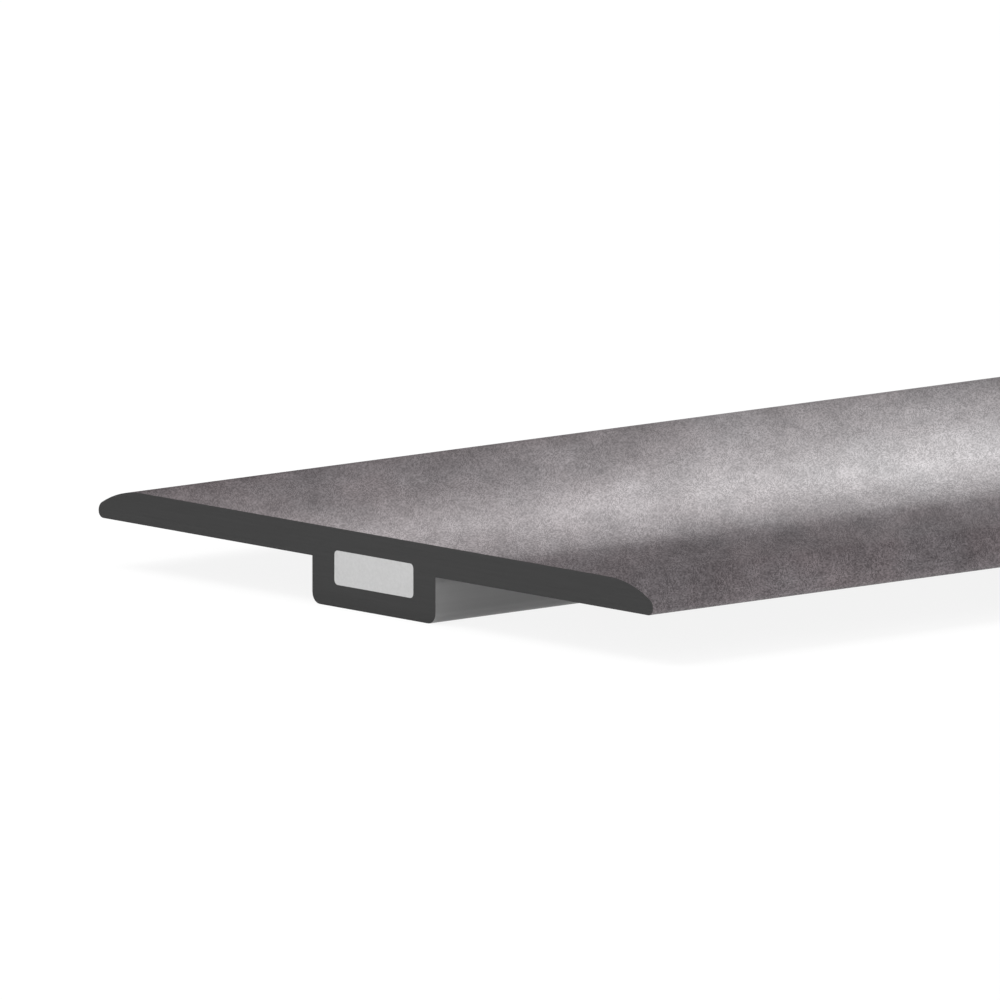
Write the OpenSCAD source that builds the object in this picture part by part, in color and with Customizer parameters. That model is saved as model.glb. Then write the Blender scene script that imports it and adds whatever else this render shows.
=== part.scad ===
// Vinyl T-molding: a wide, thin flange with rounded edges on a box-shaped stem.
// The flange covers the joint between two floors of one height, and the stem stands in the gap.
// It is three pieces: the rigid vinyl profile, the foam core in its stem and the printed film on top.
// X runs across the strip, Y along it and Z up. The origin is under the stem, at mid length.

/* [Stock] */
// Length of the strip, here a single-doorway length of 36 in
stock_l = 914; // [300:1:2400]

/* [Flange] */
// Width over both rounded edges
flange_w = 45; // [38:0.5:64]
// Thickness of the flange, film included
flange_t = 1.7; // [1.55:0.05:3]
// Width of each rounded edge, from the flat top to the side
edge_run = 3.5; // [2.5:0.05:5]
// Radius of the nose, where the rounded edge turns down into the side
nose_r = 0.55; // [0.45:0.05:0.8]
// Radius of the profile's lower corner, under the film
lip_r = 0.18; // [0.08:0.02:0.2]

/* [Stem] */
// Width over the stem's sides
stem_w = 10; // [9:0.1:16]
// Height of the stem under the flange, which suits the thickness of the floors
stem_h = 2.55; // [2.4:0.05:6]
// Radius of the stem's lower corners
stem_r = 0.6; // [0.3:0.05:1]
// Thickness of the side walls around the core
wall_side = 1.8; // [1:0.05:2.2]
// Thickness of the vinyl under the core
wall_floor = 1.2; // [0.8:0.05:1.5]
// Thickness from the flat top down to the core, film included
wall_roof = 1.2; // [0.8:0.05:1.5]
// Radius of the core's four corners
core_r = 0.25; // [0.1:0.05:0.4]

/* [Film] */
// Thickness of the printed film with its wear layer
film_t = 0.2; // [0.1:0.02:0.26]

/* [Hidden] */

edge_steps = 8;
nose_steps = 6;
corner_steps = 5;

side_x = flange_w / 2;
under_z = stem_h;
top_z = stem_h + flange_t;

// The side is a small corner arc below and the nose arc above, with their centres at one height.
corner_r = lip_r + film_t;
corner_centre = [side_x - corner_r, under_z + corner_r];
nose_centre = [side_x - nose_r, under_z + corner_r];

// The wide arc leaves the flat top without a kink and runs on into the nose without one.
nose_depth = top_z - nose_centre.y;
nose_inset = edge_run - nose_r;
edge_r = (nose_inset * nose_inset + nose_depth * nose_depth - nose_r * nose_r)
    / (2 * (nose_depth - nose_r));
edge_centre = [side_x - edge_run, top_z - edge_r];
nose_angle = atan2(edge_r - nose_depth, nose_inset);

core_w = stem_w - 2 * wall_side;
core_h = top_z - wall_roof - wall_floor;

// Points along an arc about c from angle a to angle b; first = 1 leaves out the point at a
function arc(c, r, a, b, steps, first = 0) =
    [for (i = [first : steps]) let (t = a + (b - a) * i / steps) c + r * [cos(t), sin(t)]];

function reversed(points) = [for (i = [len(points) - 1 : -1 : 0]) points[i]];

// Half an outline, drawn from the bottom up on the right, and its mirror image on the left
function both_sides(right) =
    concat(right, reversed([for (p = right) [-p.x, p.y]]));

// The flange's right edge from its underside up to the flat top, at a depth below the film's surface
function flange_edge(depth) = concat(
    arc(corner_centre, corner_r - depth, -90, 0, corner_steps),
    arc(nose_centre, nose_r - depth, 0, nose_angle, nose_steps, 1),
    arc(edge_centre, edge_r - depth, nose_angle, 90, edge_steps, 1)
);

// Stands a section drawn in width and height on end as a strip of the stock length
module extruded() {
    rotate([90, 0, 0])
        linear_extrude(height = stock_l, center = true)
            children();
}

module core_section() {
    corner_x = core_w / 2 - core_r;
    polygon(both_sides(concat(
        arc([corner_x, wall_floor + core_r], core_r, -90, 0, corner_steps),
        arc([corner_x, wall_floor + core_h - core_r], core_r, 0, 90, corner_steps)
    )));
}

// Stem and flange in one outline, less the room for the core; the film lies on its top and edges
module profile_section() {
    difference() {
        polygon(both_sides(concat(
            arc([stem_w / 2 - stem_r, stem_r], stem_r, -90, 0, corner_steps),
            [[stem_w / 2, under_z], [corner_centre.x, under_z]],
            flange_edge(film_t)
        )));
        core_section();
    }
}

// A band of even thickness over the flat top, both rounded edges and their lower corners
module film_section() {
    polygon(concat(
        both_sides(flange_edge(0)),
        reversed(both_sides(flange_edge(film_t)))
    ));
}

module profile() {
    color([0.27, 0.27, 0.27]) extruded() profile_section();
}

module core_strip() {
    color([0.78, 0.78, 0.78]) extruded() core_section();
}

module decor_film() {
    color([0.55, 0.52, 0.52]) extruded() film_section();
}

profile();
core_strip();
decor_film();
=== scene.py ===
import math

import bmesh
import bpy
from mathutils import Matrix, Vector


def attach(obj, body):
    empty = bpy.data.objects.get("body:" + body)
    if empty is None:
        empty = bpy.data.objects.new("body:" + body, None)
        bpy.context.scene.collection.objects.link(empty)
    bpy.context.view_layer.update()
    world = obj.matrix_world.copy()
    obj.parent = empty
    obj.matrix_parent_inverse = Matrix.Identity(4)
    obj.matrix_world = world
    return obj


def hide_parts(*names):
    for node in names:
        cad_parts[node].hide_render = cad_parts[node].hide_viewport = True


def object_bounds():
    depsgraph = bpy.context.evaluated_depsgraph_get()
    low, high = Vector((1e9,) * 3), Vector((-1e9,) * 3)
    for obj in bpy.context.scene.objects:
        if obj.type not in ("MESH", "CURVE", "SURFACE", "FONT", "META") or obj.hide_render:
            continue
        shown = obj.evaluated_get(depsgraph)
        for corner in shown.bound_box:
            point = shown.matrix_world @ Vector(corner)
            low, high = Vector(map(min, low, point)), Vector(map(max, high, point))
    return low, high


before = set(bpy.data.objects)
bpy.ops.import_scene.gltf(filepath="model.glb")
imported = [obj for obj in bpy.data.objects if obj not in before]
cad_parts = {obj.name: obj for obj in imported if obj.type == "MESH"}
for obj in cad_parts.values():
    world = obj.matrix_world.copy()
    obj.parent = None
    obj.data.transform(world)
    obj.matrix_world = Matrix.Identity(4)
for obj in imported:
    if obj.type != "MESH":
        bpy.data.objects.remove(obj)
cadLow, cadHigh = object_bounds()
print("stage: frame loaded")

mm = 0.001
stripEnd = cadLow.y  # the cut end that faces the camera
stripLength = cadHigh.y - cadLow.y
topZ = cadHigh.z


# Node helpers

def newMaterial(name):
    material = bpy.data.materials.new(name)
    material.use_nodes = True
    material.node_tree.nodes.clear()
    return material


def addNode(tree, kind, values=None, **settings):
    node = tree.nodes.new(kind)
    for key, value in settings.items():
        setattr(node, key, value)
    for key, value in (values or {}).items():
        if isinstance(value, bpy.types.NodeSocket):
            tree.links.new(value, node.inputs[key])
        else:
            node.inputs[key].default_value = value
    return node


def calc(tree, operation, *values):
    return addNode(tree, "ShaderNodeMath", dict(enumerate(values)), operation=operation).outputs[0]


def vectorCalc(tree, operation, values):
    return addNode(tree, "ShaderNodeVectorMath", values, operation=operation).outputs[0]


def mixColors(tree, share, first, second):
    mix = addNode(tree, "ShaderNodeMix", {"Factor": share}, data_type="RGBA")
    mix.inputs[6].default_value = (*first, 1)  # inputs 6 and 7 and output 2 are the colours
    mix.inputs[7].default_value = (*second, 1)
    return mix.outputs[2]


def objectPoint(tree, size, turn=0.0, shift=(0, 0, 0)):
    point = addNode(tree, "ShaderNodeTexCoord").outputs["Object"]
    turned = addNode(tree, "ShaderNodeMapping", {"Vector": point, "Rotation": (0, 0, turn)})
    return addNode(
        tree, "ShaderNodeMapping",
        {"Vector": turned.outputs[0], "Scale": tuple(1 / s for s in size), "Location": shift},
    ).outputs[0]


def unevenness(tree, point, gain, roughness=0.5):
    # a factor of mean 1 that follows smooth noise
    noise = addNode(
        tree, "ShaderNodeTexNoise",
        {"Vector": point, "Scale": 1.0, "Detail": 3.0, "Roughness": roughness},
    ).outputs["Fac"]
    return calc(tree, "MULTIPLY_ADD", noise, 2 * gain, 1 - gain)


def speckle(tree, point, gain):
    # a factor of mean 1 that jumps from one small cell to the next
    cell = vectorCalc(tree, "SNAP", {0: point, 1: (1, 1, 1)})
    random = addNode(tree, "ShaderNodeTexWhiteNoise", {"Vector": cell}).outputs["Value"]
    return calc(tree, "MULTIPLY_ADD", random, 2 * gain, 1 - gain)


def relief(tree, height, depth):
    return addNode(tree, "ShaderNodeBump", {"Height": height, "Distance": depth}).outputs[0]


def finishMaterial(tree, shader):
    output = addNode(tree, "ShaderNodeOutputMaterial")
    tree.links.new(shader.outputs[0], output.inputs["Surface"])


# Camera: a long lens, because the picture's edges run parallel

cameraLook = {
    "azimuth": 48.94,
    "elevation": 8.84,
    "lens": 1600,
    "sensor": 36,
    "clip": (0.1, 60),
    "pixelsPerMm": 18.82,
    "endCentrePixel": (373.8, 534.7),  # the middle of the top edge of the cut end
    "pictureSize": 1000,
}


def makeCamera(look):
    azimuth = math.radians(look["azimuth"])
    elevation = math.radians(look["elevation"])
    back = Vector((
        math.sin(azimuth) * math.cos(elevation),
        -math.cos(azimuth) * math.cos(elevation),
        math.sin(elevation),
    ))
    right = Vector((math.cos(azimuth), math.sin(azimuth), 0))
    up = back.cross(right)
    size = look["pictureSize"]
    pixel = mm / look["pixelsPerMm"]  # what one pixel covers at the cut end
    distance = size / look["sensor"] * look["lens"] * pixel
    column, row = look["endCentrePixel"]
    aside = (size / 2 - column) * pixel
    above = (row - size / 2) * pixel
    target = Vector((0, stripEnd, topZ)) + right * aside + up * above
    data = bpy.data.cameras.new("camera")
    data.lens = look["lens"]
    data.sensor_width = look["sensor"]
    data.clip_start, data.clip_end = look["clip"]
    camera = bpy.data.objects.new("camera", data)
    camera.rotation_mode = "QUATERNION"
    camera.rotation_quaternion = (-back).to_track_quat("-Z", "Y")
    camera.location = target + back * distance
    bpy.context.collection.objects.link(camera)
    bpy.context.scene.camera = camera
    return back


cameraSide = makeCamera(cameraLook)
print("stage: camera set")


# Materials

filmLook = {
    "color": (0.118, 0.104, 0.1095),
    "warm": (1.015, 0.995, 0.99),
    "cool": (0.985, 1.005, 1.005),
    "tintSize": (3 * mm, 12 * mm, 3 * mm),
    "tintRange": (0.35, 0.65),  # the noise values at which the tint is fully warm and fully cool
    "drift": math.radians(-48.9),  # direction in which the print was wiped
    "patchSize": (6 * mm, 22 * mm, 6 * mm),
    "patchShift": (52.9, 43.3, 1.2),  # the place in the noise that the print starts from
    "patchGain": 0.3,
    "smudgeSize": (1.8 * mm, 8 * mm, 1.8 * mm),
    "smudgeShift": (1.9, 54.3, 25.0),
    "smudgeGain": 0.5,
    "smudgeFineness": 0.75,
    "grainSize": (0.055 * mm, 0.34 * mm, 0.055 * mm),
    "grainGain": 0.34,
    "fleckSize": (0.11 * mm, 0.68 * mm, 0.11 * mm),
    "fleckGain": 0.12,
    "roughness": 0.5,
    "emboss": 0.02 * mm,
    "coat": 0.45,
    "coatShare": 0.6,  # how much of the print's unevenness the clear coat takes on
    "coatRoughness": 0.06,
}


def filmMaterial(look):
    material = newMaterial("printedFilm")
    tree = material.node_tree
    drift = look["drift"]
    patchPoint = objectPoint(tree, look["patchSize"], drift, look["patchShift"])
    patches = unevenness(tree, patchPoint, look["patchGain"])
    smudgePoint = objectPoint(tree, look["smudgeSize"], drift, look["smudgeShift"])
    smudges = unevenness(tree, smudgePoint, look["smudgeGain"], look["smudgeFineness"])
    grain = speckle(tree, objectPoint(tree, look["grainSize"], drift), look["grainGain"])
    flecks = speckle(tree, objectPoint(tree, look["fleckSize"], drift), look["fleckGain"])
    shade = patches
    for factor in (smudges, grain, flecks):
        shade = calc(tree, "MULTIPLY", shade, factor)
    tint = addNode(
        tree, "ShaderNodeTexNoise",
        {"Vector": objectPoint(tree, look["tintSize"], drift), "Scale": 1.0, "Detail": 2.0},
    ).outputs["Fac"]
    warmest, coolest = look["tintRange"]
    tint = addNode(
        tree, "ShaderNodeMapRange", {"Value": tint, "From Min": warmest, "From Max": coolest}
    ).outputs[0]
    tone = mixColors(tree, tint, look["warm"], look["cool"])
    tinted = vectorCalc(tree, "MULTIPLY", {0: look["color"], 1: tone})
    follow = look["coat"] * look["coatShare"]
    shader = addNode(tree, "ShaderNodeBsdfPrincipled", {
        "Base Color": vectorCalc(tree, "SCALE", {0: tinted, "Scale": shade}),
        "Roughness": calc(tree, "MULTIPLY", smudges, look["roughness"]),
        "Specular IOR Level": 0.0,  # all gloss is the coat's
        "Normal": relief(tree, smudges, look["emboss"]),
        "Coat Weight": calc(tree, "MULTIPLY_ADD", shade, follow, look["coat"] - follow),
        "Coat Roughness": look["coatRoughness"],
        "Coat IOR": 1.5,
    })
    finishMaterial(tree, shader)
    return material


paintedLitSkinLook = {
    # painted light: this grey is painted lighter than the cut end's grey, though both are the same
    # vinyl, to stand in for light falling on the sides; the sideFill lamp also lights them for real
    "grey": 0.15,
    "markSize": (0.25 * mm, 300 * mm, 0.25 * mm),  # die lines along the strip
    "gain": 0.12,
    "depth": 0.02 * mm,
    "specular": 0.5,
    "roughness": 0.4,
}
cutLook = {
    "grey": 0.049,
    "markSize": (6 * mm, 6 * mm, 0.12 * mm),  # saw marks across the cut end
    "gain": 0.12,
    "depth": 0.02 * mm,
    "specular": 0.1,
    "roughness": 0.7,
}
foamLook = {
    "grey": 0.54,
    "markSize": (0.16 * mm, 0.16 * mm, 0.16 * mm),  # fine pores
    "gain": 0.1,
    "depth": 0.04 * mm,
    "specular": 0.1,
    "roughness": 0.8,
}


def plainMaterial(name, look):
    # one grey, whose shade, roughness and relief follow the same marks
    material = newMaterial(name)
    tree = material.node_tree
    marks = unevenness(tree, objectPoint(tree, look["markSize"]), look["gain"])
    grey = (look["grey"],) * 3
    shader = addNode(tree, "ShaderNodeBsdfPrincipled", {
        "Base Color": vectorCalc(tree, "SCALE", {0: grey, "Scale": marks}),
        "Roughness": calc(tree, "MULTIPLY", marks, look["roughness"]),
        "Specular IOR Level": look["specular"],
        "Normal": relief(tree, marks, look["depth"]),
    })
    finishMaterial(tree, shader)
    return material


filmPrint = filmMaterial(filmLook)
# the profile's sides take the grey that is painted lighter to stand in for light from the side
paintedLitSkin = plainMaterial("extrudedVinylPaintedLit", paintedLitSkinLook)
cutEnd = plainMaterial("cutVinyl", cutLook)
foam = plainMaterial("foamCore", foamLook)
print("stage: materials made")


# Pieces: refined copies of the solids

def newObject(name, shape):
    mesh = bpy.data.meshes.new(name)
    shape.to_mesh(mesh)
    shape.free()
    made = bpy.data.objects.new(name, mesh)
    bpy.context.collection.objects.link(made)
    return made


def facesAlong(face):
    return abs(face.normal.y) > 0.5  # true on the strip's two cut ends


unrolled = {
    "lengths": 4,  # the film is unrolled in so many lengths, side by side
    "gap": 1 * mm,
    "hiddenShare": 0.2,  # width given to the side that is glued down
    "endPlace": {1: 30 * mm, -1: 90 * mm},  # middles of the near and the far end on the map
    "square": 236 * mm,  # side of the square that the map covers
}


def sectionParts(section, hiddenShare):
    # the stretches round the film's section: middle, start, place on the map, width per length
    corners = [corner.co.copy() for corner in section.verts]
    parts, place = [], 0
    for spot, after in zip(corners, corners[1:] + corners[:1]):
        step = after - spot
        middle = (spot + after) / 2
        outward = step.cross(section.normal)
        level = abs(step.z) < 0.01 * abs(step.x)
        seen = outward.z > 0 if level else outward.x * middle.x > 0
        share = 1 if seen else hiddenShare
        parts.append((middle.xz, spot.xz, place, share))
        place += step.length * share
    return parts, place


def unrollFilm(shape, look):
    # a map of the film at one scale, so that the print keeps its fineness when it is baked
    length = stripLength / look["lengths"]
    for cut in range(1, look["lengths"]):
        bmesh.ops.bisect_plane(
            shape, geom=shape.verts[:] + shape.edges[:] + shape.faces[:],
            plane_co=(0, stripEnd + cut * length, 0), plane_no=(0, 1, 0),
        )
    ends = [face for face in shape.faces if facesAlong(face)]
    nearEnd = min(ends, key=lambda face: face.calc_center_median().y)
    parts, columnWidth = sectionParts(nearEnd, look["hiddenShare"])
    layer = shape.loops.layers.uv.new("OFBake")
    for face in shape.faces:
        if facesAlong(face):
            facing = -round(face.normal.y)
            for loop in face.loops:
                aside = look["endPlace"][facing] + facing * loop.vert.co.x
                up = length + look["gap"] + loop.vert.co.z
                loop[layer].uv = (aside / look["square"], up / look["square"])
            continue
        centre = face.calc_center_median()
        column = int((centre.y - stripEnd) / length)
        middle, spot, place, share = min(parts, key=lambda part: (part[0] - centre.xz).length)
        place += column * (columnWidth + look["gap"])
        for loop in face.loops:
            aside = place + (loop.vert.co.xz - spot).length * share
            along = stripEnd + (column + 1) * length - loop.vert.co.y
            loop[layer].uv = (aside / look["square"], along / look["square"])


refining = {
    "flatAngle": math.radians(0.5),  # triangles that lie this flat become one face
    "sharpAngle": math.radians(30),  # edges over this stay crisp
}


def refinedCopy(nodeName, pieceName, side, end, unroll=None):
    shape = bmesh.new()
    shape.from_mesh(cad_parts[nodeName].data)
    bmesh.ops.remove_doubles(shape, verts=shape.verts, dist=1e-6)
    bmesh.ops.dissolve_limit(
        shape, angle_limit=refining["flatAngle"], verts=shape.verts, edges=shape.edges
    )
    for face in shape.faces:
        face.smooth = True
        face.material_index = 1 if facesAlong(face) else 0
    for edge in shape.edges:
        edge.smooth = edge.calc_face_angle(0) < refining["sharpAngle"]
    if unroll:
        unrollFilm(shape, unroll)
    piece = newObject(pieceName, shape)
    piece.data.materials.append(side)
    piece.data.materials.append(end)
    weighting = piece.modifiers.new("evenNormals", "WEIGHTED_NORMAL")
    weighting.keep_sharp = True
    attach(piece, "root")
    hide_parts(nodeName)


refinedCopy("decor_film", "decorFilm", filmPrint, cutEnd, unrolled)
refinedCopy("profile", "vinylProfile", paintedLitSkin, cutEnd)
refinedCopy("core_strip", "foamCoreStrip", foam, foam)
print("stage: pieces made")


# Stage

def seenDirectly(tree):
    # 1 where the camera looks, straight or by a reflection or through something clear, else 0
    path = addNode(tree, "ShaderNodeLightPath").outputs
    seen = calc(tree, "MAXIMUM", path["Is Camera Ray"], path["Is Glossy Ray"])
    return calc(tree, "MAXIMUM", seen, path["Is Transmission Ray"])


floorLook = {
    "halfSize": 6,
    "color": (0.95, 0.95, 0.95, 1),
    "whiteShare": 0.88,  # the floor is seen as this much plain white, the rest takes the shadow
}


def makeFloor(look):
    shape = bmesh.new()
    bmesh.ops.create_grid(shape, x_segments=1, y_segments=1, size=look["halfSize"])
    floor = newObject("floor", shape)
    material = newMaterial("paleFloor")
    tree = material.node_tree
    matte = addNode(tree, "ShaderNodeBsdfDiffuse", {"Color": look["color"]})
    white = addNode(tree, "ShaderNodeEmission", {"Strength": 1.0})
    share = calc(tree, "MULTIPLY", seenDirectly(tree), look["whiteShare"])
    mix = addNode(tree, "ShaderNodeMixShader", {0: share, 1: matte.outputs[0], 2: white.outputs[0]})
    finishMaterial(tree, mix)
    floor.data.materials.append(material)


worldLook = {
    "light": 0.64,  # strength of the light that the world gives; it is seen as plain white
}


def makeWorld(look):
    world = bpy.data.worlds.new("studio")
    world.use_nodes = True
    tree = world.node_tree
    tree.nodes.clear()
    light = look["light"]
    strength = calc(tree, "MULTIPLY_ADD", seenDirectly(tree), 1 - light, light)
    back = addNode(tree, "ShaderNodeBackground", {"Color": (1, 1, 1, 1), "Strength": strength})
    output = addNode(tree, "ShaderNodeOutputWorld")
    tree.links.new(back.outputs[0], output.inputs["Surface"])
    bpy.context.scene.world = world


boardLook = {
    "gap": 3 * mm,  # between the strip's side and the board
    "height": 250 * mm,
    "before": 100 * mm,  # how far the board runs past the near and the far end
    "beyond": 1000 * mm,
    "bright": 1.3,
    "nearTint": (1.05, 0.985, 1.0),
    "farTint": (1.013, 0.996, 1.004),
    # share of light that the board gives to places across the strip, in mm from its middle:
    # a narrow band at the near end, and a broad one that joins it further along
    "nearBand": ((-22, 0.05), (-9, 0.32), (1, 1.1), (11, 0.5), (12, 0.0)),
    "farBand": ((-22, 0.32), (-4, 0.86), (6, 0.7), (9, 0.38), (14, 0.13)),
    "rampStart": 2 * mm,
    "rampLength": 33 * mm,
    "slant": 0.5,  # how much later along the strip the broad band starts towards the left
}


def bandCurve(tree, across, band):
    first, last = band[0][0] * mm, band[-1][0] * mm
    place = addNode(
        tree, "ShaderNodeMapRange", {"Value": across, "From Min": first, "From Max": last}
    ).outputs[0]
    curve = addNode(tree, "ShaderNodeFloatCurve", {"Value": place})
    points = curve.mapping.curves[0].points
    spots = [((x * mm - first) / (last - first), share) for x, share in band]
    points[0].location, points[1].location = spots[0], spots[-1]
    for spot in spots[1:-1]:
        points.new(*spot)
    for point in points:
        point.handle_type = "VECTOR"
    curve.mapping.update()
    return curve.outputs[0]


def boardMaterial(name, look):
    material = newMaterial(name)
    tree = material.node_tree
    place = addNode(tree, "ShaderNodeTexCoord").outputs["Object"]
    point = addNode(tree, "ShaderNodeSeparateXYZ", {0: place}).outputs
    # the place across and along the strip whose reflection shows each spot of the board
    rise, run = cameraSide.z / cameraSide.x, -cameraSide.y / cameraSide.x
    away = calc(tree, "DIVIDE", calc(tree, "SUBTRACT", point["Z"], topZ), rise)
    across = calc(tree, "SUBTRACT", away, cadHigh.x + look["gap"])
    along = calc(tree, "SUBTRACT", point["Y"], calc(tree, "MULTIPLY", away, run))
    along = calc(tree, "MULTIPLY_ADD", across, look["slant"], along)
    rampStart = stripEnd + look["rampStart"]
    share = addNode(tree, "ShaderNodeMapRange", {
        "Value": along, "From Min": rampStart, "From Max": rampStart + look["rampLength"],
    }).outputs[0]
    near = bandCurve(tree, across, look["nearBand"])
    far = bandCurve(tree, across, look["farBand"])
    both = calc(tree, "MULTIPLY_ADD", far, share, near)
    glow = addNode(tree, "ShaderNodeEmission", {
        "Color": mixColors(tree, share, look["nearTint"], look["farTint"]),
        "Strength": calc(tree, "MULTIPLY", both, look["bright"]),
    })
    finishMaterial(tree, glow)
    return material


def makeBoard(name, look, side):
    # an upright board that only the strip's gloss reflects
    boardX = side * (cadHigh.x + look["gap"])
    low = Vector((boardX, stripEnd - look["before"], cadLow.z))
    high = Vector((boardX, cadHigh.y + look["beyond"], topZ + look["height"]))
    centre, half = (low + high) / 2, (high - low) / 2
    shape = bmesh.new()
    bmesh.ops.create_grid(shape, x_segments=1, y_segments=1, size=1)
    bmesh.ops.rotate(shape, verts=shape.verts, matrix=Matrix.Rotation(math.pi / 2, 3, "Y"))
    bmesh.ops.scale(shape, verts=shape.verts, vec=(1, half.y, half.z))
    bmesh.ops.translate(shape, verts=shape.verts, vec=centre)
    board = newObject(name, shape)
    for kind in ("camera", "diffuse", "transmission", "volume_scatter", "shadow"):
        setattr(board, f"visible_{kind}", False)
    board.data.materials.append(boardMaterial(name + "Glow", look))


lampLooks = {
    # places and targets in metres from the foot of the cut end, power in watts
    "softbox": {"place": (-1.2, -0.3, 1.9), "target": (0, 0, 0), "size": (1.5, 1.5), "power": 45},
    "sideFill": {"place": (1, 0.05, 0.02), "target": (0, 0.05, 0), "size": (0.8, 0.03), "power": 5},
}


def makeLamp(name, look):
    foot = Vector((0, stripEnd, 0))
    place = foot + Vector(look["place"])
    target = foot + Vector(look["target"])
    data = bpy.data.lights.new(name, "AREA")
    data.shape = "RECTANGLE"
    data.size, data.size_y = look["size"]
    data.energy = look["power"]
    lamp = bpy.data.objects.new(name, data)
    lamp.location = place
    lamp.rotation_mode = "QUATERNION"
    lamp.rotation_quaternion = (target - place).to_track_quat("-Z", "Y")
    lamp.visible_camera = False
    lamp.visible_glossy = False
    bpy.context.collection.objects.link(lamp)


makeFloor(floorLook)
makeWorld(worldLook)
makeBoard("leftBoard", boardLook, -1)
makeBoard("rightBoard", boardLook, 1)
for lampName, lampLook in lampLooks.items():
    makeLamp(lampName, lampLook)
bpy.context.scene.view_settings.view_transform = "Standard"
print("stage: studio set")
